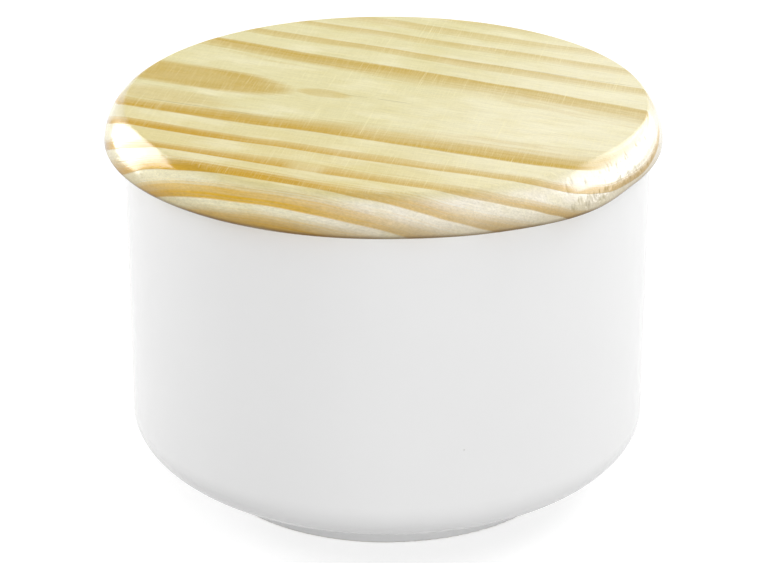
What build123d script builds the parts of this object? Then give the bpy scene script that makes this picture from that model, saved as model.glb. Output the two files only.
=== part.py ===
from build123d import *
from math import atan, cos, degrees, hypot, radians, sin, sqrt, tan
import os

# A round salt box for the kitchen: a glazed ceramic pot with a one-piece pine lid, hinged at the
# back on a steel bracket that hides under the lid's overhang.
# Millimetres. The origin is the centre of the plane that the foot ring stands on, +Z is up,
# the front is towards -Y and the hinge is at +Y, with its axis along X.

# Pot
rim_height = 84.7
rim_radius = 61.5
wall = 5.0
wall_draft = 0.42  # degrees, the wall leans out towards the rim
rim_outer_round = 1.2
rim_inner_round = 3.0
floor_thickness = 5.6
corner_half_width = 32.0  # the large soft lower corner is a quarter of an ellipse
corner_half_height = 15.6
foot_height = 2.4  # from the table to the lowest point of the pot's underside
foot_radius = 42.4
foot_land = 4.2
foot_flare_angle = 17.5  # degrees from the vertical, on the outside of the foot ring
foot_edge_round = 0.8
foot_neck_round = 1.2

# Hinge lug, moulded in one with the pot
lug_width = 16.0
lug_nose_radius = 4.3
lug_top_gap = 0.3
lug_stop_angle = 15.0  # degrees that the stop leans from upright, where the open lid comes to it
lug_stop_length = 5.0
lug_under_angle = 42.0  # degrees from the horizontal
lug_corner_round = 3.0
lug_edge_round = 0.7
lug_root_round = 1.6

# Hinge pin, a rivet with a ready-made head at one end and a closed head at the other
pin_diameter = 3.0
pin_running_clearance = 0.08  # radial, in the lug
pin_fixed_clearance = 0.02  # radial, in the bracket's ears
pin_head_radius = 2.8
pin_head_height = 1.3
pin_tail_radius = 2.3
pin_tail_height = 1.0

# Washers between the lug and the bracket's ears
washer_radius = 3.3
washer_thickness = 0.8
washer_bore_clearance = 0.1
hinge_side_play = 0.1

# Hinge bracket, folded from sheet
sheet = 1.2
fold_round = 0.5  # inside the folds
ear_radius = 3.4
ear_wall_gap = 1.6  # between an ear and the outside of the pot
plate_length = 36.0
flange_length = 20.0
flange_width = 27.0
flange_corner_round = 3.0
plate_neck_round = 1.5

# Lid board
lid_overhang = 3.5  # past the outside of the rim, half the difference of the diameters
lid_shift = -1.0  # along X, the board is fixed a little to the left of the pot's middle
lid_thickness = 9.5
lid_bevel_width = 4.5  # from the crisp edge of the flat top out to the widest point
lid_lower_round = 1.0
mortise_clearance = 0.15

# Inner disc, screwed under the lid board, and the seal in its edge
disc_thickness = 7.0
disc_edge_round = 1.2
seal_depth = 4.4  # from the lid's underside down to the middle of the seal
seal_height = 2.4
seal_proud = 0.5
seal_groove = 1.8
swing_clearance = 0.2  # between the seal and the rim as the lid swings up

# Countersunk wood screws
bracket_screw_head = 5.4
bracket_screw_shank = 2.9
bracket_screw_length = 7.0
bracket_screw_pitch_across = 15.0
bracket_screw_pitch_along = 9.0
bracket_screw_edge = 5.5  # from the front of the plate to the first pair of screws
disc_screw_head = 6.2
disc_screw_shank = 3.4
disc_screw_length = 13.0
disc_screw_inset = 17.6  # from the edge of the inner disc
disc_screw_count = 3
screw_clearance = 0.06
drive_slot_width = 0.8
drive_slot_depth = 0.9
drive_slot_share = 0.6  # length of the cross over the head's diameter
screw_point_angle = 30.0  # degrees, half the angle of the point

# Worked out from the sizes above
inner_radius = rim_radius - wall
corner_top = foot_height + corner_half_height
cavity_floor = foot_height + floor_thickness
inner_half_width = corner_half_width - wall
inner_half_height = corner_top - cavity_floor
pin_y = rim_radius + ear_wall_gap + ear_radius
pin_z = rim_height - lug_top_gap - lug_nose_radius
lid_radius = rim_radius + lid_overhang
lid_top = rim_height + lid_thickness
ear_inner_face = lug_width / 2 + hinge_side_play + washer_thickness
ear_outer_face = ear_inner_face + sheet
plate_rear = pin_y + ear_radius
plate_front = plate_rear - plate_length

# The seal swings past the inside of the rim on a circle round the pin. Its lip stays outside
# the circle that the far side of the rounded rim lies on.
lip_radius = seal_height / 2
seal_z = rim_height - seal_depth
rim_reach = (
    hypot(pin_y - inner_radius - rim_inner_round, rim_height - rim_inner_round - pin_z)
    + rim_inner_round
)
lip_swing = rim_reach + swing_clearance + lip_radius
seal_radius = pin_y - sqrt(lip_swing**2 - (seal_z - pin_z) ** 2) + lip_radius
disc_radius = seal_radius - seal_proud
groove_radius = disc_radius - seal_groove
disc_screw_circle = disc_radius - disc_screw_inset


def ring_edges(part, radius, height):
    """The circular edges of a turned part at this radius and height."""
    near = 0.01
    return [
        edge
        for edge in part.edges().filter_by(GeomType.CIRCLE)
        if abs(edge.radius - radius) < near and abs(edge.arc_center.Z - height) < near
    ]


def turned_solid(rim_x, half_width, half_height):
    """A solid of revolution as high as the rim: flat bottom, elliptical corner, drafted wall."""
    slope = tan(radians(wall_draft))
    meet = -degrees(atan(slope * half_height / half_width))
    reach = half_width * cos(radians(meet))
    rise = rim_height - corner_top - half_height * sin(radians(meet))
    centre = (rim_x - slope * rise - reach, corner_top)
    with BuildPart() as solid:
        with BuildSketch(Plane.XZ):
            with BuildLine():
                corner = EllipticalCenterArc(
                    centre, half_width, half_height, start_angle=-90, arc_size=90 + meet
                )
                wall_line = Line(corner @ 1, (rim_x, rim_height))
                bottom = (0, corner_top - half_height)
                Polyline(wall_line @ 1, (0, rim_height), bottom, corner @ 0)
            make_face()
        revolve(axis=Axis.Z)
    return solid.part


def foot_ring():
    """The turned ring that the pot stands on, flaring a little up into the pot's solid base."""
    inside = foot_radius - foot_land
    flare = corner_top * tan(radians(foot_flare_angle))
    with BuildPart() as ring:
        with BuildSketch(Plane.XZ):
            with BuildLine():
                outer_top = (foot_radius + flare, corner_top)
                Polyline((inside, 0), (foot_radius, 0), outer_top, (inside, corner_top), close=True)
            make_face()
        revolve(axis=Axis.Z)
        fillet(ring_edges(ring, foot_radius, 0), foot_edge_round)
        fillet(ring_edges(ring, inside, 0), foot_edge_round)
    return ring.part


def lug():
    """Lug behind the rim: a round nose for the pin, a stop for the open lid, a slanted underside."""
    root_y = rim_radius - wall / 2
    normal = Vector(cos(radians(lug_stop_angle)), -sin(radians(lug_stop_angle)))
    down = Vector(-sin(radians(lug_stop_angle)), -cos(radians(lug_stop_angle)))
    stop_top = Vector(pin_y, pin_z) + normal * lug_nose_radius
    stop_end = stop_top + down * lug_stop_length
    drop = (stop_end.X - root_y) * tan(radians(lug_under_angle))
    with BuildPart() as block:
        with BuildSketch(Plane.YZ) as side:
            with BuildLine():
                top = Line((root_y, pin_z + lug_nose_radius), (pin_y, pin_z + lug_nose_radius))
                TangentArc(top @ 1, stop_top, tangent=(1, 0))
                Polyline(stop_top, stop_end, (root_y, stop_end.Y - drop), top @ 0)
            make_face()
            fillet(side.vertices().sort_by_distance(stop_end)[0], lug_corner_round)
        extrude(amount=lug_width / 2, both=True)
        flanks = block.faces().filter_by(Axis.X).edges()
        root = block.faces().filter_by(Axis.Y).sort_by(Axis.Y)[0].edges()
        fillet([edge for edge in flanks if edge not in root], lug_edge_round)
    return block.part


def pin_bore(clearance, length):
    """The hole for the pin, along the hinge's axis."""
    bore = Cylinder(pin_diameter / 2 + clearance, length, rotation=(0, 90, 0))
    return Location((0, pin_y, pin_z)) * bore


def pot():
    """The ceramic pot: a turned blank with its foot ring and lug, hollowed and bored for the pin."""
    blank = turned_solid(rim_radius, corner_half_width, corner_half_height)
    blank = fillet(ring_edges(blank, rim_radius, rim_height), rim_outer_round)
    ring, knuckle = foot_ring(), lug()
    turned = blank + ring
    turned = fillet(new_edges(blank, ring, combined=turned), foot_neck_round)
    body = turned + knuckle
    body = fillet(new_edges(turned, knuckle, combined=body), lug_root_round)
    body -= turned_solid(inner_radius, inner_half_width, inner_half_height)
    body = fillet(ring_edges(body, inner_radius, rim_height), rim_inner_round)
    return body - pin_bore(pin_running_clearance, 2 * lug_width)


def screw(head, shank, length, gap=0.0):
    """A countersunk screw pointing up, its flat head at z = 0. A gap makes it a cutter for its hole."""
    head_radius = head / 2 + gap
    shank_radius = shank / 2 + gap
    cone = (head - shank) / 2
    point = shank_radius / tan(radians(screw_point_angle))
    top = length + gap
    with BuildPart() as body:
        with BuildSketch(Plane.XZ):
            with BuildLine():
                Polyline(
                    (0, 0),
                    (head_radius, 0),
                    (shank_radius, cone),
                    (shank_radius, top - point),
                    (0, top),
                    close=True,
                )
            make_face()
        revolve(axis=Axis.Z)
        if gap == 0:
            with Locations((0, 0, drive_slot_depth / 2)):
                Box(head * drive_slot_share, drive_slot_width, drive_slot_depth, mode=Mode.SUBTRACT)
                Box(drive_slot_width, head * drive_slot_share, drive_slot_depth, mode=Mode.SUBTRACT)
    return body.part


def bracket_screw_places():
    """Four screws in a rectangle, through the plate's flange into the lid board."""
    middle = plate_front + bracket_screw_edge + bracket_screw_pitch_along / 2
    spots = GridLocations(bracket_screw_pitch_across, bracket_screw_pitch_along, 2, 2).locations
    return [Location((0, middle, rim_height)) * spot for spot in spots]


def disc_screw_places():
    """Screws on a circle, through the inner disc into the lid board, one of them at the front."""
    spots = PolarLocations(disc_screw_circle, disc_screw_count, start_angle=-90).locations
    return [Location((0, 0, rim_height - disc_thickness)) * spot for spot in spots]


def screw_set(places, head, shank, length, gap=0.0):
    """Copies of one screw, or of its hole, at all its places."""
    return [place * screw(head, shank, length, gap) for place in places]


def bracket_screw_set(gap=0.0):
    sizes = (bracket_screw_head, bracket_screw_shank, bracket_screw_length)
    return screw_set(bracket_screw_places(), *sizes, gap)


def disc_screw_set(gap=0.0):
    sizes = (disc_screw_head, disc_screw_shank, disc_screw_length)
    return screw_set(disc_screw_places(), *sizes, gap)


def plate_outline(margin=0.0):
    """The bracket's plate seen from above, a wide flange and a narrow neck, grown by a margin."""
    with BuildSketch(Plane.XY.offset(rim_height)) as outline:
        with Locations((0, plate_front + flange_length / 2)):
            Rectangle(flange_width, flange_length)
        with Locations((0, plate_rear - plate_length / 2)):
            Rectangle(2 * ear_outer_face, plate_length)
        front, steps = outline.vertices().group_by(Axis.Y)[:2]
        fillet(front, flange_corner_round)
        fillet(steps, plate_neck_round)
        offset(amount=margin)
    return outline.sketch


def lid_board():
    """The pine lid, turned with a rounded bevel, and cut underneath for the bracket and the screws."""
    widest_z = rim_height + lid_lower_round
    with BuildPart() as board:
        with BuildSketch(Plane.XZ):
            with BuildLine():
                under = Line((0, rim_height), (lid_radius - lid_lower_round, rim_height))
                lower = TangentArc(under @ 1, (lid_radius, widest_z), tangent=(1, 0))
                bevel = TangentArc(lower @ 1, (lid_radius - lid_bevel_width, lid_top), tangent=(0, 1))
                Polyline(bevel @ 1, (0, lid_top), (0, rim_height))
            make_face()
        revolve(axis=Axis.Z)
    mortise = extrude(plate_outline(mortise_clearance), amount=sheet)
    holes = bracket_screw_set(screw_clearance) + disc_screw_set(screw_clearance)
    return Location((lid_shift, 0, 0)) * board.part - mortise - holes


def inner_disc():
    """The disc under the lid that fills the mouth of the pot, grooved round its edge for the seal."""
    bottom = rim_height - disc_thickness
    with BuildPart() as disc:
        with BuildSketch(Plane.XZ):
            with Locations((disc_radius / 2, rim_height - disc_thickness / 2)):
                Rectangle(disc_radius, disc_thickness)
            with Locations((disc_radius, seal_z)):
                Rectangle(2 * seal_groove, seal_height, mode=Mode.SUBTRACT)
        revolve(axis=Axis.Z)
        fillet(ring_edges(disc, disc_radius, bottom), disc_edge_round)
    return disc.part - disc_screw_set(screw_clearance)


def seal_ring():
    """Silicone ring in the inner disc's groove, with a full-round lip."""
    lip_middle = seal_radius - lip_radius
    with BuildPart() as ring:
        with BuildSketch(Plane.XZ):
            with BuildLine():
                low = Line((groove_radius, seal_z - lip_radius), (lip_middle, seal_z - lip_radius))
                lip = TangentArc(low @ 1, (lip_middle, seal_z + lip_radius), tangent=(1, 0))
                Polyline(lip @ 1, (groove_radius, seal_z + lip_radius), low @ 0)
            make_face()
        revolve(axis=Axis.Z)
    return ring.part


def folded_ears():
    """The rear end of the bracket: a strip across the lug with an ear folded down at each side."""
    low = pin_z - ear_radius
    middle_z = (pin_z + rim_height + sheet) / 2
    with BuildLine(Plane.XZ.offset(-plate_rear)) as fold:
        FilletPolyline(
            (-ear_inner_face, low),
            (-ear_inner_face, rim_height),
            (ear_inner_face, rim_height),
            (ear_inner_face, low),
            radius=fold_round,
        )
    with BuildSketch(Plane.YZ) as side:
        with Locations((pin_y, middle_z)):
            Rectangle(2 * ear_radius, 2 * (middle_z - pin_z))
        with Locations((pin_y, pin_z)):
            Circle(ear_radius)
    strip = make_brake_formed(sheet, 2 * ear_radius, fold.line)
    return strip & extrude(side.sketch, amount=2 * ear_outer_face, both=True)


def hinge_bracket():
    """Plate under the lid with two ears folded down, one each side of the lug."""
    plate = extrude(plate_outline(), amount=sheet)
    rear_end = Location((0, pin_y, rim_height)) * Box(4 * ear_outer_face, 2 * ear_radius, 4 * sheet)
    bracket = plate - rear_end + folded_ears()
    holes = [pin_bore(pin_fixed_clearance, 4 * ear_outer_face), *bracket_screw_set(screw_clearance)]
    return bracket - holes


def hinge_pin():
    """Rivet through both ears and the lug, headed against the outside of each ear."""
    radius = pin_diameter / 2
    with BuildPart() as pin:
        with BuildSketch(Plane.XY):
            with BuildLine():
                start = (-ear_outer_face - pin_tail_height, 0)
                end = (ear_outer_face + pin_head_height, 0)
                tail = TangentArc(start, (-ear_outer_face, pin_tail_radius), tangent=(0, 1))
                head = TangentArc(end, (ear_outer_face, pin_head_radius), tangent=(0, 1))
                Polyline(tail @ 1, (-ear_outer_face, radius), (ear_outer_face, radius), head @ 1)
                Line(start, end)
            make_face()
        revolve(axis=Axis.X)
    return Location((0, pin_y, pin_z)) * pin.part


def hinge_washers():
    """Two washers on the pin, each bearing on one side of the lug."""
    bore = pin_diameter / 2 + washer_bore_clearance
    middle = (lug_width + washer_thickness) / 2
    with BuildPart() as washers:
        for side in (-1, 1):
            with Locations((side * middle, pin_y, pin_z)):
                Cylinder(washer_radius, washer_thickness, rotation=(0, 90, 0))
                Cylinder(bore, washer_thickness, rotation=(0, 90, 0), mode=Mode.SUBTRACT)
    return washers.part


os.makedirs("parts", exist_ok=True)
export_step(pot(), "parts/pot.step")
export_step(lid_board(), "parts/lid_board.step")
export_step(inner_disc(), "parts/inner_disc.step")
export_step(seal_ring(), "parts/seal_ring.step")
export_step(hinge_bracket(), "parts/hinge_bracket.step")
export_step(Compound(bracket_screw_set()), "parts/bracket_screws.step")
export_step(Compound(disc_screw_set()), "parts/disc_screws.step")
export_step(hinge_pin(), "parts/hinge_pin.step")
export_step(hinge_washers(), "parts/hinge_washers.step")
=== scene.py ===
from math import cos, pi, radians, sin, tan

import bmesh
import bpy
import numpy
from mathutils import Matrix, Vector

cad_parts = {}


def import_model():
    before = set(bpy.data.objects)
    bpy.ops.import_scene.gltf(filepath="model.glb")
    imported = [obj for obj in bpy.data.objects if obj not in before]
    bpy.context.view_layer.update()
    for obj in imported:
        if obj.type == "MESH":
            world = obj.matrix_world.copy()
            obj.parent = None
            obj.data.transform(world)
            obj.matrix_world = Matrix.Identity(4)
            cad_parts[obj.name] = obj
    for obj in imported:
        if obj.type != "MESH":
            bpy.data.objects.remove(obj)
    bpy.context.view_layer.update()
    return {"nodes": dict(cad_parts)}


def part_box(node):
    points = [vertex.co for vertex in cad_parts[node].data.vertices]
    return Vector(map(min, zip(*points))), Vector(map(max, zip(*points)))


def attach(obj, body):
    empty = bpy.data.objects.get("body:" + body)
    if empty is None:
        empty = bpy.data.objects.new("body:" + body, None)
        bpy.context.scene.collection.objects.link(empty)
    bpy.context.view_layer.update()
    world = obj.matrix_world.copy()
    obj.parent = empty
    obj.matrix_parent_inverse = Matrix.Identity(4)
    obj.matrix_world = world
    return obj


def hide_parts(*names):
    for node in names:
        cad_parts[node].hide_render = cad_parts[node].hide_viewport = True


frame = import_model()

# A round salt box: a white glazed pot with a varnished pine lid on a steel hinge.
# Blender's lengths are metres. Sizes are named here in millimetres, and times MM where used.
MM = 0.001
nodes = frame["nodes"]
random = numpy.random.default_rng(12)

lid_low, lid_high = [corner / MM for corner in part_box("lid_board")]
bracket_low, bracket_high = [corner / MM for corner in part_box("hinge_bracket")]
pin_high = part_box("hinge_pin")[1] / MM
lid_under, lid_top = lid_low.z, lid_high.z
disc_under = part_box("inner_disc")[0].z / MM


def linear(code):
    """A colour of six hexadecimal digits, as the linear values that Blender's sockets take."""
    parts = [int(code[i : i + 2], 16) / 255 for i in (0, 2, 4)]
    low = [part / 12.92 for part in parts]
    high = [((part + 0.055) / 1.055) ** 2.4 for part in parts]
    return [high[i] if parts[i] > 0.04045 else low[i] for i in range(3)] + [1]


def grey(level):
    return (level, level, level, 1)


def shown(name, mesh):
    """A new object of the scene with this mesh, lamp or camera."""
    made = bpy.data.objects.new(name, mesh)
    bpy.context.scene.collection.objects.link(made)
    return made


def feed(links, socket, value):
    """Links an output to a socket, or sets a plain value on it."""
    if isinstance(value, bpy.types.NodeSocket):
        links.new(value, socket)
    else:
        socket.default_value = value


class Shader:
    """A material with a Principled surface. Its methods add nodes and return their outputs."""

    def __init__(self, name, surface):
        self.material = bpy.data.materials.new(name)
        self.material.use_nodes = True
        self.nodes = self.material.node_tree.nodes
        self.links = self.material.node_tree.links
        self.surface = self.nodes["Principled BSDF"].inputs
        for socket, value in surface.items():
            self.surface[socket].default_value = value

    def feed(self, socket, value):
        feed(self.links, socket, value)

    def add(self, kind, *values, output=0, **settings):
        """A node with these settings, and with these values on its inputs in order."""
        node = self.nodes.new(kind)
        for name, setting in settings.items():
            setattr(node, name, setting)
        for socket, value in zip(node.inputs, values):
            self.feed(socket, value)
        return node.outputs[output]

    def math(self, operation, *values, clamp=False):
        return self.add("ShaderNodeMath", *values, operation=operation, use_clamp=clamp)

    def product(self, *values):
        total = values[0]
        for value in values[1:]:
            total = self.math("MULTIPLY", total, value)
        return total

    def place(self):
        """The object's own coordinates in millimetres."""
        coords = self.add("ShaderNodeTexCoord", output="Object")
        return self.stretched(coords, (1 / MM,) * 3)

    def stretched(self, vector, scale):
        return self.add("ShaderNodeVectorMath", vector, scale, operation="MULTIPLY")

    def parts(self, vector):
        """The three parts of a vector."""
        node = self.nodes.new("ShaderNodeSeparateXYZ")
        self.feed(node.inputs[0], vector)
        return list(node.outputs)

    def noise(self, vector, size=1.0, detail=2.0, rough=0.5, seed=0.0):
        """Noise about 0.5 whose lumps are about this size in the vector's units."""
        node = self.nodes.new("ShaderNodeTexNoise")
        node.noise_dimensions = "4D"
        values = {"Vector": vector, "W": seed, "Scale": 1 / size, "Detail": detail, "Roughness": rough}
        for name, value in values.items():
            self.feed(node.inputs[name], value)
        return node.outputs["Fac"]

    def span(self, value, low, high, to_low=0.0, to_high=1.0, smooth=True):
        """The value taken from low...high to to_low...to_high, and kept there outside."""
        node = self.nodes.new("ShaderNodeMapRange")
        node.interpolation_type = "SMOOTHSTEP" if smooth else "LINEAR"
        names = ("Value", "From Min", "From Max", "To Min", "To Max")
        for name, part in zip(names, (value, low, high, to_low, to_high)):
            self.feed(node.inputs[name], part)
        return node.outputs["Result"]

    def ramp(self, value, stops, stepped=False):
        """A ColorRamp of (position, level). A stepped one keeps each level up to the next stop."""
        node = self.nodes.new("ShaderNodeValToRGB")
        node.color_ramp.interpolation = "CONSTANT" if stepped else "LINEAR"
        elements = node.color_ramp.elements
        elements.remove(elements[1])
        for index, (position, level) in enumerate(stops):
            element = elements.new(position) if index else elements[0]
            element.position = position
            element.color = grey(level)
        self.feed(node.inputs["Fac"], value)
        return node.outputs["Color"]

    def mix(self, factor, first, second, blend="MIX"):
        """The first colour taken towards the second by a factor of 0...1."""
        node = self.nodes.new("ShaderNodeMix")
        node.data_type = "RGBA"
        node.blend_type = blend
        values = {"Factor_Float": factor, "A_Color": first, "B_Color": second}
        for socket in node.inputs:
            if socket.identifier in values:
                self.feed(socket, values[socket.identifier])
        return next(socket for socket in node.outputs if socket.identifier == "Result_Color")

    def toned(self, colour, tone):
        """A colour times a grey or another colour."""
        return self.mix(1.0, colour, tone, blend="MULTIPLY")

    def bump(self, height, distance, over=None):
        """A normal bent by a height of 0...1, where 1 stands distance millimetres proud."""
        node = self.nodes.new("ShaderNodeBump")
        node.inputs["Distance"].default_value = distance * MM
        self.feed(node.inputs["Height"], height)
        if over:
            self.feed(node.inputs["Normal"], over)
        return node.outputs["Normal"]


# ---- The pine lid: turned, then sanded by hand, which leaves it a little uneven ----

outline_middle = (lid_low.x + lid_high.x) / 2
outline_radius = (lid_high.x - lid_low.x) / 2
flat_middle = outline_middle + 0.8  # the flat top sits a little to the right in the outline
flat_radius = 60.5
# Where the outline stands out from a circle: degrees round the lid, to each side of it, and how far
outline_bulges = ((-49, 20, 2.0), (-67, 20, 0.9))
lower_round = 1.0
edge_softness = 0.3  # how far the crisp edge of the flat top is rounded back
edge_share = 0.9  # how much of the bevel's first step that rounding takes
widest_height = lid_under + lower_round
bevel_steps = 26
edge_steps = 4
lower_steps = 7
coarse_step = 0.5  # degrees round the lid
fine_step = 0.12  # in the end grain
end_grain = ((-62, -4), (118, 176))  # degrees round the lid where the bevel cuts across the fibres
sanding_depth = 0.22
sanding_waves = ((7, 0.4), (13, 0.35), (29, 0.25))  # flats round the lid, and their share
sanding_climb = 2.5  # how far a flat may turn, in radians, on its way up the bevel
tear_count = 150
tear_depth = 0.2
pin_head_height = 1.3
flange_length = 20.0
flange_corner = 3.0
bracket_sheet = 1.2
mortise_gap = 0.15
pocket_overshoot = 2.0  # how far the pocket's cutter runs out past the lid's rear edge
pocket_undercut = 1.0  # and how far it starts below the lid
corner_steps = 6
bracket_screw_head = 5.4
bracket_screw_shank = 2.9
disc_screw_head = 6.2
disc_screw_shank = 3.4
disc_screw_turns = (-90, 30, 150)  # degrees round the disc
screw_gap = 0.06
screw_point_angle = 30.0  # half the angle of a screw's point, in degrees
hole_sides = 48


def lid_angles():
    """Angles round the lid, closer together in the end grain, where the tears are."""
    angles = []
    angle = end_grain[0][0]
    while angle < end_grain[0][0] + 360 - fine_step / 2:
        angles.append(angle)
        inside = any(low <= angle < high for low, high in end_grain)
        angle += fine_step if inside else coarse_step
    return numpy.radians(angles)


def lid_rows(turn):
    """Rows of points from the flat top down the bevel to the underside, for these angles."""
    around = numpy.stack([numpy.cos(turn), numpy.sin(turn)], axis=1)
    top = around * flat_radius + [flat_middle, 0]
    radius = numpy.full((len(turn), 1), outline_radius)
    for middle, half, height in outline_bulges:
        away = (numpy.degrees(turn) - middle + 180) % 360 - 180
        away = numpy.clip(away / half, -1, 1)
        radius[:, 0] += height * numpy.cos(pi / 2 * away) ** 2
    wide = around * radius + [outline_middle, 0]
    width = numpy.linalg.norm(wide - top, axis=1, keepdims=True)
    height = lid_top - widest_height
    bend = (width**2 + height**2) / (2 * width)
    reach = numpy.arcsin(height / bend)
    bevel = []
    for step in range(bevel_steps + 1):
        angle = reach * (1 - step / bevel_steps)
        share = bend * (1 - numpy.cos(angle)) / width
        level = widest_height + bend * numpy.sin(angle)
        bevel.append(numpy.hstack([wide + (top - wide) * share, level]))
    inside = numpy.hstack([top - around * edge_softness, numpy.full((len(turn), 1), lid_top)])
    corner, below = bevel[0], bevel[0] + (bevel[1] - bevel[0]) * edge_share
    edge = []
    for step in range(edge_steps + 1):
        t = step / edge_steps
        edge.append(inside * (1 - t) ** 2 + corner * 2 * t * (1 - t) + below * t**2)
    lower = []
    for step in range(1, lower_steps + 1):
        angle = pi / 2 * step / lower_steps
        inward = wide - around * lower_round * (1 - cos(angle))
        level = numpy.full((len(turn), 1), widest_height - lower_round * sin(angle))
        lower.append(numpy.hstack([inward, level]))
    return numpy.array(edge + bevel[1:] + lower)


def sanding(turn, level):
    """How deep the sanding went, 0...1, in soft flats along the bevel and none at its rims."""
    depth = numpy.zeros_like(level)
    for waves, share in sanding_waves:
        shift = random.uniform(0, 2 * pi)
        climb = random.uniform(-sanding_climb, sanding_climb)
        depth += share * (0.5 + 0.5 * numpy.sin(waves * turn + shift + climb * level))
    return depth * numpy.sin(pi * numpy.clip(level, 0, 1)) ** 0.6


def tears(turn, level):
    """Short pits down the bevel where the cutter tore the end grain, 0...1 deep.

    Every fifth pit is in the second stretch of end grain, and every fourth is high on the bevel.
    The level is 0 at the lid's widest height and 1 at the top.
    """
    depth = numpy.zeros_like(level)
    for index in range(tear_count):
        low, high = end_grain[0] if index % 5 else end_grain[1]
        place = radians(random.triangular(low + 4, low + 22, high - 6))
        middle = random.uniform(0.1, 0.36) if index % 4 else random.uniform(0.5, 0.8)
        length = random.uniform(0.02, 0.075)
        width = radians(random.uniform(0.14, 0.34))
        lean = random.uniform(-0.09, 0.03)
        strength = random.uniform(0.3, 1.0)
        across = (turn - place + lean * (level - middle) + pi) % (2 * pi) - pi
        pit = numpy.exp(-((across / width) ** 2) - ((level - middle) / length) ** 4)
        depth = numpy.maximum(depth, strength * pit)
    return depth


def turned_lid():
    """The lid's solid before it is cut underneath."""
    turn = lid_angles()
    rows = lid_rows(turn)
    level = (rows[:, :, 2] - widest_height) / (lid_top - widest_height)
    torn = tears(turn, level)
    depth = sanding_depth * sanding(turn, level) + tear_depth * torn
    inward = numpy.array([outline_middle, 0, (lid_top + lid_under) / 2]) - rows
    inward /= numpy.linalg.norm(inward, axis=2, keepdims=True)
    rows += inward * depth[:, :, None]
    mesh = bmesh.new()
    torn_layer = mesh.verts.layers.float.new("torn")
    points = [[mesh.verts.new(Vector(point) * MM) for point in row] for row in rows]
    for row, values in zip(points, torn):
        for point, value in zip(row, values):
            point[torn_layer] = value
    count = len(turn)
    for upper, lower in zip(points, points[1:]):
        for i in range(count):
            j = (i + 1) % count
            mesh.faces.new((upper[i], lower[i], lower[j], upper[j])).smooth = True
    mesh.faces.new(points[0])
    mesh.faces.new(reversed(points[-1]))
    return mesh


def prism(outline, low, high):
    """A closed prism with this outline between two heights."""
    mesh = bmesh.new()
    ends = [[mesh.verts.new(Vector((x, y, z)) * MM) for x, y in outline] for z in (low, high)]
    count = len(outline)
    mesh.faces.new(reversed(ends[0]))
    mesh.faces.new(ends[1])
    for i in range(count):
        j = (i + 1) % count
        mesh.faces.new((ends[0][i], ends[0][j], ends[1][j], ends[1][i]))
    return mesh


def mesh_object(name, mesh):
    data = bpy.data.meshes.new(name)
    bmesh.ops.recalc_face_normals(mesh, faces=mesh.faces)
    mesh.to_mesh(data)
    mesh.free()
    return shown(name, data)


def cut(piece, cutter):
    """Cuts one closed mesh out of another."""
    modifier = piece.modifiers.new("cut", "BOOLEAN")
    modifier.operation = "DIFFERENCE"
    modifier.solver = "EXACT"
    modifier.object = cutter
    graph = bpy.context.evaluated_depsgraph_get()
    result = bpy.data.meshes.new_from_object(piece.evaluated_get(graph))
    piece.modifiers.remove(modifier)
    piece.data = result
    bpy.data.objects.remove(cutter)


def plate_outline(gap):
    """Round the bracket's plate: a wide flange in front, a narrow neck to the rear."""
    half = bracket_high.x + gap
    neck = pin_high.x - pin_head_height + gap
    front = bracket_low.y - gap
    step = bracket_low.y + flange_length + gap
    rear = lid_high.y + pocket_overshoot
    corner = flange_corner + gap
    outline = []
    for i in range(corner_steps + 1):
        angle = pi / 2 * i / corner_steps
        outline.append((half - corner * (1 - cos(angle)), front + corner * (1 - sin(angle))))
    outline = outline[::-1] + [(half, step), (neck, step), (neck, rear)]
    return outline + [(-x, y) for x, y in reversed(outline)]


def screw_holes(places, base, top, head, shank):
    """Pointed holes for countersunk screws, from the flat of their heads to their points."""
    point = (shank / 2 + screw_gap) / tan(radians(screw_point_angle))
    profile = (
        (head / 2 + screw_gap, base),
        (shank / 2 + screw_gap, base + (head - shank) / 2),
        (shank / 2 + screw_gap, top + screw_gap - point),
    )
    mesh = bmesh.new()
    for x, y in places:
        rings = []
        for radius, level in profile:
            turns = [2 * pi * i / hole_sides for i in range(hole_sides)]
            ring = [(x + radius * cos(turn), y + radius * sin(turn), level) for turn in turns]
            rings.append([mesh.verts.new(Vector(spot) * MM) for spot in ring])
        tip = mesh.verts.new(Vector((x, y, top + screw_gap)) * MM)
        mesh.faces.new(reversed(rings[0]))
        for i in range(hole_sides):
            j = (i + 1) % hole_sides
            for lower, upper in zip(rings, rings[1:]):
                mesh.faces.new((lower[i], lower[j], upper[j], upper[i]))
            mesh.faces.new((rings[-1][i], rings[-1][j], tip))
    return mesh


def lid_piece():
    """The lid with the pocket for the bracket's plate and the holes for all the screws."""
    lid = mesh_object("pine_lid", turned_lid())
    outline = plate_outline(mortise_gap)
    pocket = prism(outline, lid_under - pocket_undercut, lid_under + bracket_sheet)
    cut(lid, mesh_object("pocket", pocket))
    low, high = [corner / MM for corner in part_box("bracket_screws")]
    inset = bracket_screw_head / 2
    sides, ends = (low.x + inset, high.x - inset), (low.y + inset, high.y - inset)
    places = [(x, y) for x in sides for y in ends]
    holes = screw_holes(places, low.z, high.z, bracket_screw_head, bracket_screw_shank)
    cut(lid, mesh_object("bracket_holes", holes))
    low, high = [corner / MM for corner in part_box("disc_screws")]
    circle = -low.y - disc_screw_head / 2
    turns = [radians(turn) for turn in disc_screw_turns]
    places = [(circle * cos(turn), circle * sin(turn)) for turn in turns]
    holes = screw_holes(places, low.z, high.z, disc_screw_head, disc_screw_shank)
    cut(lid, mesh_object("disc_holes", holes))
    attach(lid, "lid")
    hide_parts("lid_board")
    return lid


lid = lid_piece()

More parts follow.
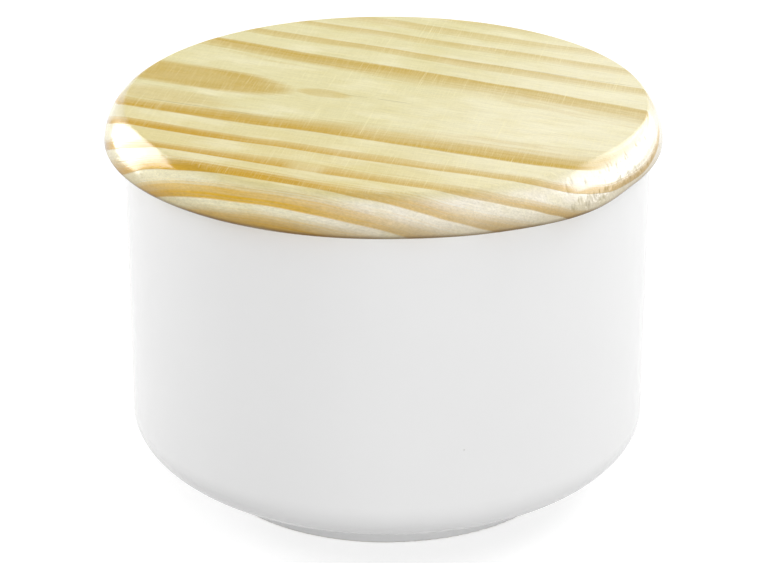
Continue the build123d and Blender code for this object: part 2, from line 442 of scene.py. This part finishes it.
# ---- Pine. A board is sawn from a round trunk, so its bands are cuts through growth rings. ----

grain_angle = -24.5  # degrees from +X, the way that the lid's grain runs
disc_grain_angle = 12  # and the way that the inner disc's runs
grain_sway = 1.3  # how far the bands wander to each side
heart_line = -3.7  # where the trunk's middle lies across the grain
pith_height = 66.0  # from the board's top up to the trunk's middle
trunk_lean = 0.018  # the trunk's middle comes this much higher for each step along the grain
ring_dip = 1.8  # how far the widest ring bends to the front, at the right
# Each year's outer radius in the trunk, how dark its latewood is, and how much of the year it takes
growth_rings = (
    (65.6, 0.0, 0.5),
    (70.3, 0.98, 0.58),
    (75.1, 0.92, 0.45),
    (81.1, 0.96, 0.47),
    (86.9, 1.0, 0.62),
    (92.7, 0.96, 0.68),
    (96.9, 0.95, 0.74),
    (101.0, 0.7, 0.6),
)
# Dark hairlines: where they start and end along the grain, where they lie across it, how dark
hairlines = ((-54, -16, -22.7, 0.5), (-12, 8, -1.8, 0.4), (-4, 54, 31.2, 0.3))
# Scratches: length, width, lean in degrees, the noise where they start and are full, seed, share
scratch_sets = (
    (11.0, 0.22, -10, 0.48, 0.66, 11, 1.0),
    (9.0, 0.22, -17, 0.5, 0.66, 13, 1.0),
    (30.0, 0.4, -13, 0.62, 0.7, 17, 2.0),
)
scratch_strength = 0.15
strand_length = 55.0  # of the fine lines that follow the rings
strands_per_mm = 2.2
speck_spacing = 9  # between the places where the glaze may have a speck
# How latewood darkens from the soft start of its band to the hard edge
latewood_rise = ((0.0, 0.0), (0.2, 0.38), (0.45, 0.7), (0.85, 1.0), (0.93, 0.96), (1.0, 0.25))


class Grain:
    """Places in a pine board: along and across the grain, and down into it, in millimetres."""

    def __init__(self, shader, top, turn):
        self.shader = shader
        coords = shader.add("ShaderNodeTexCoord", output="Object")
        raised = shader.add("ShaderNodeVectorMath", coords, (0, 0, -top * MM), operation="ADD")
        spin = (0, 0, -radians(turn))
        self.place = shader.add("ShaderNodeMapping", raised, (0, 0, 0), spin, (1 / MM,) * 3)
        self.along, straight, self.height = shader.parts(self.place)
        drift = self.noise(45, 14, seed=3)
        bend = shader.span(drift, 0.2, 0.8, -grain_sway, grain_sway, smooth=False)
        self.across = shader.math("ADD", straight, bend)
        self.fibre = self.noise(16, 0.55, detail=4, rough=0.65, seed=7)
        self.radius = self.ring_radius()
        # Fine lines that follow the rings
        slow = shader.math("MULTIPLY", self.along, 1 / strand_length)
        quick = shader.math("MULTIPLY", self.radius, strands_per_mm)
        lines = shader.add("ShaderNodeCombineXYZ", slow, quick, 0.0)
        self.strands = shader.noise(lines, detail=4, rough=0.6, seed=51)

    def noise(self, length, width, detail=2.0, rough=0.5, seed=0.0, lean=0.0):
        """Noise that changes over this length along the grain and this width across it."""
        shader, place = self.shader, self.place
        if lean:
            spin = (0, 0, radians(lean))
            place = shader.add("ShaderNodeMapping", place, (0, 0, 0), spin, (1, 1, 1))
        scale = (1 / length, 1 / width, 1 / width)
        return shader.noise(shader.stretched(place, scale), detail=detail, rough=rough, seed=seed)

    def frayed(self, fray):
        """A swing of this much to each side that follows the fibres."""
        return self.shader.span(self.fibre, 0.2, 0.8, -fray, fray, smooth=False)

    def patch(self, middle, half, soft, fray=0.0):
        """1 inside an oval and 0 outside, its edge frayed along the fibres."""
        shader = self.shader
        squares = []
        for value, centre, reach in zip((self.along, self.across), middle, half):
            away = shader.math("DIVIDE", shader.math("SUBTRACT", value, centre), reach)
            squares.append(shader.math("MULTIPLY", away, away))
        away = shader.math("ADD", *squares)
        if fray:
            away = shader.math("ADD", away, self.frayed(fray))
        return shader.span(away, 1 - soft, 1 + soft, 1, 0)

    def finger(self, start, tip, middle, half, soft, fray):
        """1 inside a band that comes from the left and ends in a round tip, its edge frayed."""
        shader = self.shader
        past = shader.math("MAXIMUM", shader.math("SUBTRACT", self.along, start), 0.0)
        past = shader.math("DIVIDE", past, tip - start)
        side = shader.math("DIVIDE", shader.math("SUBTRACT", self.across, middle), half)
        squares = [shader.math("MULTIPLY", value, value) for value in (past, side)]
        away = shader.math("ADD", shader.math("ADD", *squares), self.frayed(fray))
        return shader.span(away, 1 - soft, 1 + soft, 1, 0)

    def line(self, start, end, across, width=0.16):
        """1 on a broken hairline along the grain."""
        shader = self.shader
        away = shader.math("ABSOLUTE", shader.math("SUBTRACT", self.across, across))
        thin = shader.span(away, width * 0.4, width * 1.6, 1, 0)
        run = shader.math("ABSOLUTE", shader.math("SUBTRACT", self.along, (start + end) / 2))
        half = (end - start) / 2
        broken = shader.span(self.noise(7, 30, seed=across), 0.3, 0.5)
        return shader.product(thin, shader.span(run, half * 0.7, half, 1, 0), broken)

    def ring_radius(self):
        """How far each place is from the trunk's middle."""
        shader = self.shader
        pith = shader.math("MULTIPLY_ADD", self.along, trunk_lean, pith_height)
        reach = shader.math("SUBTRACT", pith, self.height)
        dip = shader.product(
            shader.span(self.along, 8, 50),
            shader.span(self.across, -8, -20),
            shader.span(self.across, -35, -29),
            ring_dip,
        )
        side = shader.math("ADD", shader.math("SUBTRACT", self.across, heart_line), dip)
        square = shader.math("MULTIPLY_ADD", side, side, shader.math("MULTIPLY", reach, reach))
        return shader.math("SQRT", square)

    def latewood(self):
        """0 in pale earlywood to 1 in the darkest latewood, from rings about the trunk's middle."""
        shader = self.shader
        radii, strengths, shares = zip(*growth_rings)
        first, width = radii[0], radii[-1] - radii[0]
        years = len(growth_rings) - 1
        depth = shader.math("DIVIDE", shader.math("SUBTRACT", self.radius, first), width, clamp=True)
        ages = [((radius - first) / width, index / years) for index, radius in enumerate(radii)]
        age = shader.math("MULTIPLY", shader.ramp(depth, ages), years)
        season = shader.math("FRACT", age)
        part = shader.math("DIVIDE", age, years)
        strength, wide = [
            shader.ramp(part, [(i / years, value) for i, value in enumerate(values[1:])], stepped=True)
            for values in (strengths, shares)
        ]
        since = shader.math("SUBTRACT", season, shader.math("SUBTRACT", 1.0, wide))
        late = shader.math("DIVIDE", since, wide)
        streak = shader.span(self.strands, 0.25, 0.75, -0.3, 0.3, smooth=False)
        loose = shader.math("MULTIPLY", shader.math("SUBTRACT", 1.0, late), streak)
        late = shader.ramp(shader.math("ADD", late, loose, clamp=True), latewood_rise)
        return shader.math("MULTIPLY", late, strength)


def pine_bands(grain, bevel):
    """How dark the latewood is on the lid, 0...1, with what sets single bands apart."""
    shader, along, across = grain.shader, grain.along, grain.across
    # The bands fade to the rear, a little more at the right, and at one gap in front
    fade = shader.product(shader.span(across, -20, 15), shader.span(along, 0, 60), 0.25)
    gap = grain.patch((2.5, -48.6), (4.4, 3.0), 1.0, 0.6)
    late = shader.product(
        grain.latewood(),
        shader.span(across, 12, 55, 1.0, 0.4, smooth=False),
        shader.math("SUBTRACT", 1.0, fade),
        shader.math("MULTIPLY_ADD", gap, -0.6, 1.0),
    )
    # Where the board's face only grazes a ring: a finger, a patch beyond its tip, and a smudge
    finger = grain.finger(-42, -23, -5.0, 6.8, 0.42, 0.25)
    patch = grain.patch((-15, -3.1), (6.5, 2.6), 0.5, 0.35)
    smudge = grain.patch((-50, -19.5), (17, 4.5), 0.8, 0.3)
    for spot, dark in ((finger, 0.78), (patch, 0.5), (smudge, 0.34)):
        late = shader.math("MAXIMUM", late, shader.math("MULTIPLY", spot, dark))
    # Each band is uneven. Two stretches at the front are stronger, and one of them is flecked.
    mottle = grain.noise(26, 6, detail=3, seed=5)
    late = shader.product(late, shader.span(mottle, 0.25, 0.75, 0.88, 1.14, smooth=False))
    late = shader.product(late, shader.span(grain.strands, 0.3, 0.7, 0.8, 1.16, smooth=False))
    left = grain.patch((-44, -38.5), (24, 5), 0.7)
    front = grain.patch((-8, -57), (20, 6), 0.7)
    strong = shader.math("MULTIPLY", late, shader.math("ADD", left, front))
    late = shader.math("MULTIPLY_ADD", strong, 0.34, late)
    flecks = shader.span(grain.noise(2.4, 0.35, detail=2, seed=31), 0.6, 0.72)
    flecks = shader.product(flecks, grain.patch((8, -57), (20, 4.5), 0.5), 0.6)
    late = shader.math("MULTIPLY", late, shader.math("SUBTRACT", 1.0, flecks), clamp=True)
    # On the bevel they pale at the front right, break off once where a painted highlight takes a band
    # out high at the right end, and darken at the right end
    cream = shader.product(bevel, shader.span(across, -24, -38), shader.span(along, 8, 36))
    late = shader.math("MULTIPLY", late, shader.math("MULTIPLY_ADD", cream, -0.08, 1.0))
    upper = shader.math("MULTIPLY", bevel, shader.span(grain.height, -4.5, -3.5))
    # Painted highlight: most of the band is taken out of the colour high on the right end of the bevel
    painted_highlight = shader.product(upper, shader.span(across, -31, -27), shader.span(along, 40, 52), -0.8)
    late = shader.math("MULTIPLY", late, shader.math("ADD", painted_highlight, 1.0))
    brown = shader.product(bevel, shader.span(along, 46, 60))
    return shader.math("MULTIPLY", late, shader.math("MULTIPLY_ADD", brown, 0.4, 1.0), clamp=True)


def pine_colour(grain, bevel, late):
    """The colour of the lid's sound wood under its varnish."""
    shader, along, across = grain.shader, grain.along, grain.across
    # Earlywood: paler to the right and on the bevel, amber at the front right, and cloudy
    pale = shader.mix(shader.span(along, -5, 42), linear("E2DAAA"), linear("F1EAC9"))
    amber = shader.product(shader.span(across, -18, -44), shader.span(along, 10, 50, 1, 0.3))
    pale = shader.mix(amber, pale, linear("E2D59E"))
    fair = shader.mix(shader.span(along, -15, 32), linear("F2EAC4"), linear("F8F1E0"))
    pale = shader.mix(bevel, pale, fair)
    cloud = grain.noise(9, 4, detail=3, seed=41)
    pale = shader.mix(shader.span(cloud, 0.4, 0.7, 0, 0.22), pale, linear("DCCE88"))
    light = grain.noise(15, 7, detail=3, seed=43)
    pale = shader.mix(shader.span(light, 0.45, 0.7, 0, 0.4), pale, linear("F6F1D2"))
    # Latewood: more orange at the front and on the bevel, and brown on the left rim
    front = shader.mix(shader.span(along, -5, 22), linear("C89E34"), linear("CFAE60"))
    dark = shader.mix(shader.span(across, -8, -44), linear("C6A64A"), front)
    orange = shader.mix(shader.span(along, 0, 45), linear("D9AC34"), linear("DABD84"))
    dark = shader.mix(bevel, dark, orange)
    left = shader.span(along, -58, -48, 1, 0)
    left_rim = shader.product(shader.span(grain.height, -4.5, -2, 1, 0), left)
    dark = shader.mix(left_rim, dark, linear("B08830"))
    return shader.mix(late, pale, dark)


def pine_wear(grain, bevel, flat, colour):
    """The colour with fibres and grit, hairlines along the grain and scratches across it."""
    shader = grain.shader
    fine = grain.noise(7, 0.22, detail=2, rough=0.6, seed=9)
    fibres = shader.math("ADD", shader.span(grain.fibre, 0.3, 0.7, -0.06, 0.06, smooth=False), 1.0)
    fibres = shader.math("ADD", fibres, shader.span(fine, 0.3, 0.7, -0.05, 0.05, smooth=False))
    colour = shader.toned(colour, fibres)
    grit = grain.noise(0.9, 0.42, detail=3, rough=0.7, seed=61)
    grit = shader.span(grit, 0.3, 0.7, -1, 1, smooth=False)
    grit = shader.math("MULTIPLY_ADD", grit, shader.span(bevel, 0, 1, 0.055, 0.1), 1.0)
    colour = shader.toned(colour, grit)
    for start, end, place, dark in hairlines:
        line = shader.math("MULTIPLY", grain.line(start, end, place), dark)
        colour = shader.mix(line, colour, linear("9A8E64"))
    total = 0.0
    for length, width, lean, low, high, seed, share in scratch_sets:
        lines = grain.noise(width, length, detail=1, seed=seed, lean=lean)
        total = shader.math("MULTIPLY_ADD", shader.span(lines, low, high), share, total)
    worn = shader.span(shader.noise(grain.place, 16, detail=2, seed=71), 0.35, 0.65, 0.5, 1.0)
    scratches = shader.product(total, flat, worn, scratch_strength)
    colour = shader.mix(scratches, colour, linear("FBF3C4"))
    strands = shader.span(grain.strands, 0.3, 0.7, -0.06, 0.06)
    return shader.toned(colour, shader.math("MULTIPLY_ADD", strands, bevel, 1.0))


def pine_painted_shade(grain, colour):
    """The colour with painted shade darkening the lid's side, and a painted shadow darkest just above
    the underside.
    """
    shader = grain.shader
    low = lid_under - lid_top
    facing = shader.parts(shader.add("ShaderNodeTexCoord", output="Normal"))[2]
    side = shader.span(facing, -0.95, -0.6)
    # Painted shade: the side darkens towards the underside, where it turns down away from the light
    edge = shader.product(side, shader.span(grain.height, low + 0.4, low + 5.6, 1, 0), 0.72)
    colour = shader.mix(edge, colour, linear("B8AD90"), blend="MULTIPLY")
    # Painted shadow: a dark line along the bottom edge, where the lid sits over the pot
    painted_shadow_line = shader.math("MULTIPLY", side, shader.span(grain.height, low + 0.2, low + 1.4, 1, 0))
    return shader.mix(painted_shadow_line, colour, linear("93815F"), blend="MULTIPLY")


def varnished_pine():
    """Pine under gloss varnish. The varnish is thinner on the worn flat top and in the tears."""
    surface = {"Roughness": 0.5, "Specular IOR Level": 0.0, "Coat Roughness": 0.05, "Coat IOR": 1.6}
    shader = Shader("varnished_pine", surface)
    grain = Grain(shader, lid_top, grain_angle)
    flat = shader.span(grain.height, -0.5, -0.1)
    bevel = shader.span(grain.height, -2.5, -0.3, 1, 0)
    late = pine_bands(grain, bevel)
    colour = pine_colour(grain, bevel, late)
    colour = pine_wear(grain, bevel, flat, colour)
    colour = pine_painted_shade(grain, colour)
    torn = shader.nodes.new("ShaderNodeAttribute")
    torn.attribute_name = "torn"
    torn = torn.outputs["Fac"]
    colour = shader.mix(shader.math("MULTIPLY", torn, 0.42), colour, linear("948A66"))
    shader.feed(shader.surface["Base Color"], colour)

    # Latewood takes less varnish and stands a little proud
    bare = shader.math("MULTIPLY", late, shader.span(grain.along, -40, 20, 0.1, 0.35))
    coat = shader.product(
        shader.math("SUBTRACT", 1.0, bare),
        shader.span(flat, 0, 1, 1.0, 0.35, smooth=False),
        shader.math("MULTIPLY_ADD", torn, -0.8, 1.0),
    )
    shader.feed(shader.surface["Coat Weight"], coat)
    ridges = shader.bump(late, 0.05)
    ridges = shader.bump(grain.fibre, 0.03, over=ridges)
    shader.feed(shader.surface["Normal"], ridges)
    shader.feed(shader.surface["Coat Normal"], ridges)
    return shader.material


def plain_pine():
    """Bare pine, planed and waxed."""
    shader = Shader("plain_pine", {"Roughness": 0.55, "Specular IOR Level": 0.3})
    grain = Grain(shader, disc_under, disc_grain_angle)
    strands = shader.span(grain.strands, 0.3, 0.7, 0.8, 1.1, smooth=False)
    late = shader.product(grain.latewood(), strands)
    colour = shader.mix(late, linear("E9D9AE"), linear("CBA45F"))
    tone = shader.span(grain.fibre, 0.3, 0.7, 0.93, 1.05, smooth=False)
    shader.feed(shader.surface["Base Color"], shader.toned(colour, tone))
    shader.feed(shader.surface["Normal"], shader.bump(grain.fibre, 0.05))
    return shader.material


def white_glaze():
    """White glaze, a little wavy, with a few dark specks. The foot's land is bare clay."""
    shader = Shader("white_glaze", {"Specular IOR Level": 0.16})
    place = shader.place()
    cloud = shader.noise(place, 34, detail=3, seed=2)
    colour = shader.mix(cloud, linear("EEEEEE"), linear("F1F1F1"))
    cells = shader.nodes.new("ShaderNodeTexVoronoi")
    cells.inputs["Scale"].default_value = 1 / speck_spacing
    shader.feed(cells.inputs["Vector"], place)
    few = shader.parts(cells.outputs["Color"])[0]
    specks = shader.product(
        shader.span(cells.outputs["Distance"], 0.02, 0.045, 1, 0),
        shader.span(few, 0.8, 0.84),
        0.5,
    )
    colour = shader.mix(specks, colour, linear("8F8B84"))
    ground = shader.span(shader.parts(place)[2], 0.15, 0.5, 1, 0)
    grit = shader.noise(place, 0.5, detail=3, rough=0.7, seed=4)
    clay = shader.mix(shader.span(grit, 0.3, 0.7), linear("D2CABB"), linear("E6E0D4"))
    shader.feed(shader.surface["Base Color"], shader.mix(ground, colour, clay))
    shader.feed(shader.surface["Roughness"], shader.span(ground, 0, 1, 0.13, 0.8))
    wave = shader.bump(shader.noise(place, 13, detail=2, seed=6), 0.12)
    grain = shader.math("MULTIPLY", grit, ground)
    shader.feed(shader.surface["Normal"], shader.bump(grain, 0.08, over=wave))
    return shader.material


def brushed_steel():
    """Sheet steel, brushed along X."""
    shader = Shader("brushed_steel", {"Metallic": 1.0})
    place = shader.place()
    lines = shader.noise(shader.stretched(place, (0.12, 5.0, 5.0)), detail=3, rough=0.6, seed=3)
    shader.feed(shader.surface["Base Color"], shader.mix(lines, linear("A8A8A6"), linear("C2C2C0")))
    shader.feed(shader.surface["Roughness"], shader.span(lines, 0.2, 0.8, 0.24, 0.42))
    shader.feed(shader.surface["Normal"], shader.bump(lines, 0.01))
    return shader.material


def turned_steel():
    """Plated steel of the screws and the pin, faintly worn."""
    shader = Shader("turned_steel", {"Metallic": 1.0})
    worn = shader.noise(shader.place(), 1.6, detail=4, rough=0.6, seed=8)
    shader.feed(shader.surface["Base Color"], shader.mix(worn, linear("9FA09F"), linear("BBBCBC")))
    shader.feed(shader.surface["Roughness"], shader.span(worn, 0.25, 0.75, 0.2, 0.38))
    return shader.material


def moulded(name, dull, bright, rough):
    """A soft moulded plastic, slightly cloudy."""
    shader = Shader(name, {"Specular IOR Level": 0.4})
    cloud = shader.noise(shader.place(), 3.5, detail=3, seed=5)
    fine = shader.noise(shader.place(), 0.3, detail=2, seed=9)
    shader.feed(shader.surface["Base Color"], shader.mix(cloud, linear(dull), linear(bright)))
    shader.feed(shader.surface["Roughness"], shader.span(fine, 0.2, 0.8, rough - 0.06, rough + 0.06))
    shader.feed(shader.surface["Normal"], shader.bump(fine, 0.01))
    return shader.material


finishes = {
    "pot": white_glaze(),
    "inner_disc": plain_pine(),
    "seal_ring": moulded("silicone", "D4D6D4", "E0E1DF", 0.36),
    "hinge_bracket": brushed_steel(),
    "hinge_pin": turned_steel(),
    "hinge_washers": moulded("nylon", "DAD8CC", "E6E4DA", 0.5),
}
for name in ("bracket_screws", "disc_screws"):
    finishes[name] = finishes["hinge_pin"]
for name, material in finishes.items():
    for slot in nodes[name].material_slots:
        slot.material = material
lid.data.materials.clear()
lid.data.materials.append(varnished_pine())

# ---- Stage: a pale floor and an even studio, with the camera at the photograph's angle ----

camera_target = Vector((-1.9, 0, 47.9)) * MM
camera_distance = 780 * MM
camera_elevation = 22.78
camera_lens = 155.6
sensor_width = 36
lamp_target = Vector((0, 0, 60)) * MM
floor_half = 6.0
floor_grey = 0.62  # for the light that it throws back on the object
floor_seen_grey = 0.5  # as it is seen, which keeps the object's shadow
floor_glow = 0.64  # added where it is seen, which makes it white
floor_gloss_dip = 0.12  # less in gloss, so that the edges of the glaze stand out from the white
ambient = 0.67
backdrop_top = 20.0  # degrees above the horizon
backdrop_fade = 12.0
ceiling = 0.3


def direction(azimuth, elevation):
    """Unit vector; azimuth 0 is +X and 90 is +Y, elevation is up from the floor, in degrees."""
    turn, lift = radians(azimuth), radians(elevation)
    return Vector((cos(turn) * cos(lift), sin(turn) * cos(lift), sin(lift)))


def camera():
    """The scene's camera, in front of the object and a little above it."""
    data = bpy.data.cameras.new("camera")
    data.lens = camera_lens
    data.sensor_fit = "HORIZONTAL"
    data.sensor_width = sensor_width
    data.clip_start = 0.01
    data.clip_end = 50
    made = shown("camera", data)
    towards = direction(-90, camera_elevation)
    made.location = camera_target + towards * camera_distance
    made.rotation_euler = towards.to_track_quat("Z", "Y").to_euler()
    bpy.context.scene.camera = made


def softbox(name, azimuth, elevation, distance, width, height, power, glossy=False):
    """A rectangular area lamp that faces the box. A glossy one is only seen in gloss."""
    data = bpy.data.lights.new(name, "AREA")
    data.shape = "RECTANGLE"
    data.size = width
    data.size_y = height
    data.energy = power
    made = shown(name, data)
    away = direction(azimuth, elevation)
    made.location = lamp_target + away * distance
    made.rotation_euler = away.to_track_quat("Z", "Y").to_euler()
    made.visible_glossy = glossy
    made.visible_diffuse = not glossy


def floor():
    size = floor_half
    corners = [(-size, -size, 0), (size, -size, 0), (size, size, 0), (-size, size, 0)]
    mesh = bpy.data.meshes.new("floor")
    mesh.from_pydata(corners, [], [(0, 1, 2, 3)])
    made = shown("floor", mesh)
    surface = {"Roughness": 1.0, "Specular IOR Level": 0.0, "Emission Color": grey(1)}
    shader = Shader("floor", surface)
    path = shader.nodes.new("ShaderNodeLightPath").outputs
    seen = shader.math("MAXIMUM", path["Is Camera Ray"], path["Is Glossy Ray"])
    seen = shader.math("MAXIMUM", seen, path["Is Transmission Ray"])
    colour = shader.mix(seen, grey(floor_grey), grey(floor_seen_grey))
    shader.feed(shader.surface["Base Color"], colour)
    glow = shader.math("MULTIPLY", seen, floor_glow)
    glow = shader.math("MULTIPLY_ADD", path["Is Glossy Ray"], -floor_gloss_dip, glow)
    shader.feed(shader.surface["Emission Strength"], glow)
    mesh.materials.append(shader.material)


def world():
    """An even studio. Gloss sees a white backdrop up to the backdrop's top, and grey above it."""
    made = bpy.data.worlds.new("studio")
    bpy.context.scene.world = made
    made.use_nodes = True
    tree = made.node_tree
    tree.nodes.clear()
    new, link = tree.nodes.new, tree.links.new
    path = new("ShaderNodeLightPath").outputs
    way = new("ShaderNodeSeparateXYZ")
    link(new("ShaderNodeTexCoord").outputs["Generated"], way.inputs[0])
    above = new("ShaderNodeMapRange")
    above.interpolation_type = "SMOOTHSTEP"
    for name, value in (
        ("From Min", sin(radians(backdrop_top - backdrop_fade))),
        ("From Max", sin(radians(backdrop_top))),
        ("To Min", 1.0),
        ("To Max", ceiling),
    ):
        above.inputs[name].default_value = value
    link(way.outputs["Z"], above.inputs["Value"])
    strength = ambient
    for ray, level in (
        ("Is Glossy Ray", above.outputs["Result"]),
        ("Is Transmission Ray", 1.0),
        ("Is Camera Ray", 1.0),
    ):
        chosen = new("ShaderNodeMix")
        for socket, value in (("Factor", path[ray]), ("A", strength), ("B", level)):
            feed(tree.links, chosen.inputs[socket], value)
        strength = chosen.outputs["Result"]
    lamp = new("ShaderNodeBackground")
    lamp.inputs["Color"].default_value = grey(1)
    link(strength, lamp.inputs["Strength"])
    link(lamp.outputs[0], new("ShaderNodeOutputWorld").inputs["Surface"])


camera()
# Azimuth and elevation in degrees, then distance, width and height in metres, and watts
softbox("left_softbox", 157, 18, 1.0, 0.5, 0.4, 4.5)
softbox("right_softbox", 28, 36, 1.0, 0.7, 0.6, 4.7)
softbox("low_front", -75, 13, 1.2, 1.0, 0.25, 3.9)
softbox("left_gloss", 143, 16, 1.0, 0.62, 0.73, 8.0, glossy=True)
softbox("right_gloss", 25, 22, 1.0, 1.3, 1.0, 14.0, glossy=True)
floor()
world()
bpy.context.scene.view_settings.view_transform = "Standard"
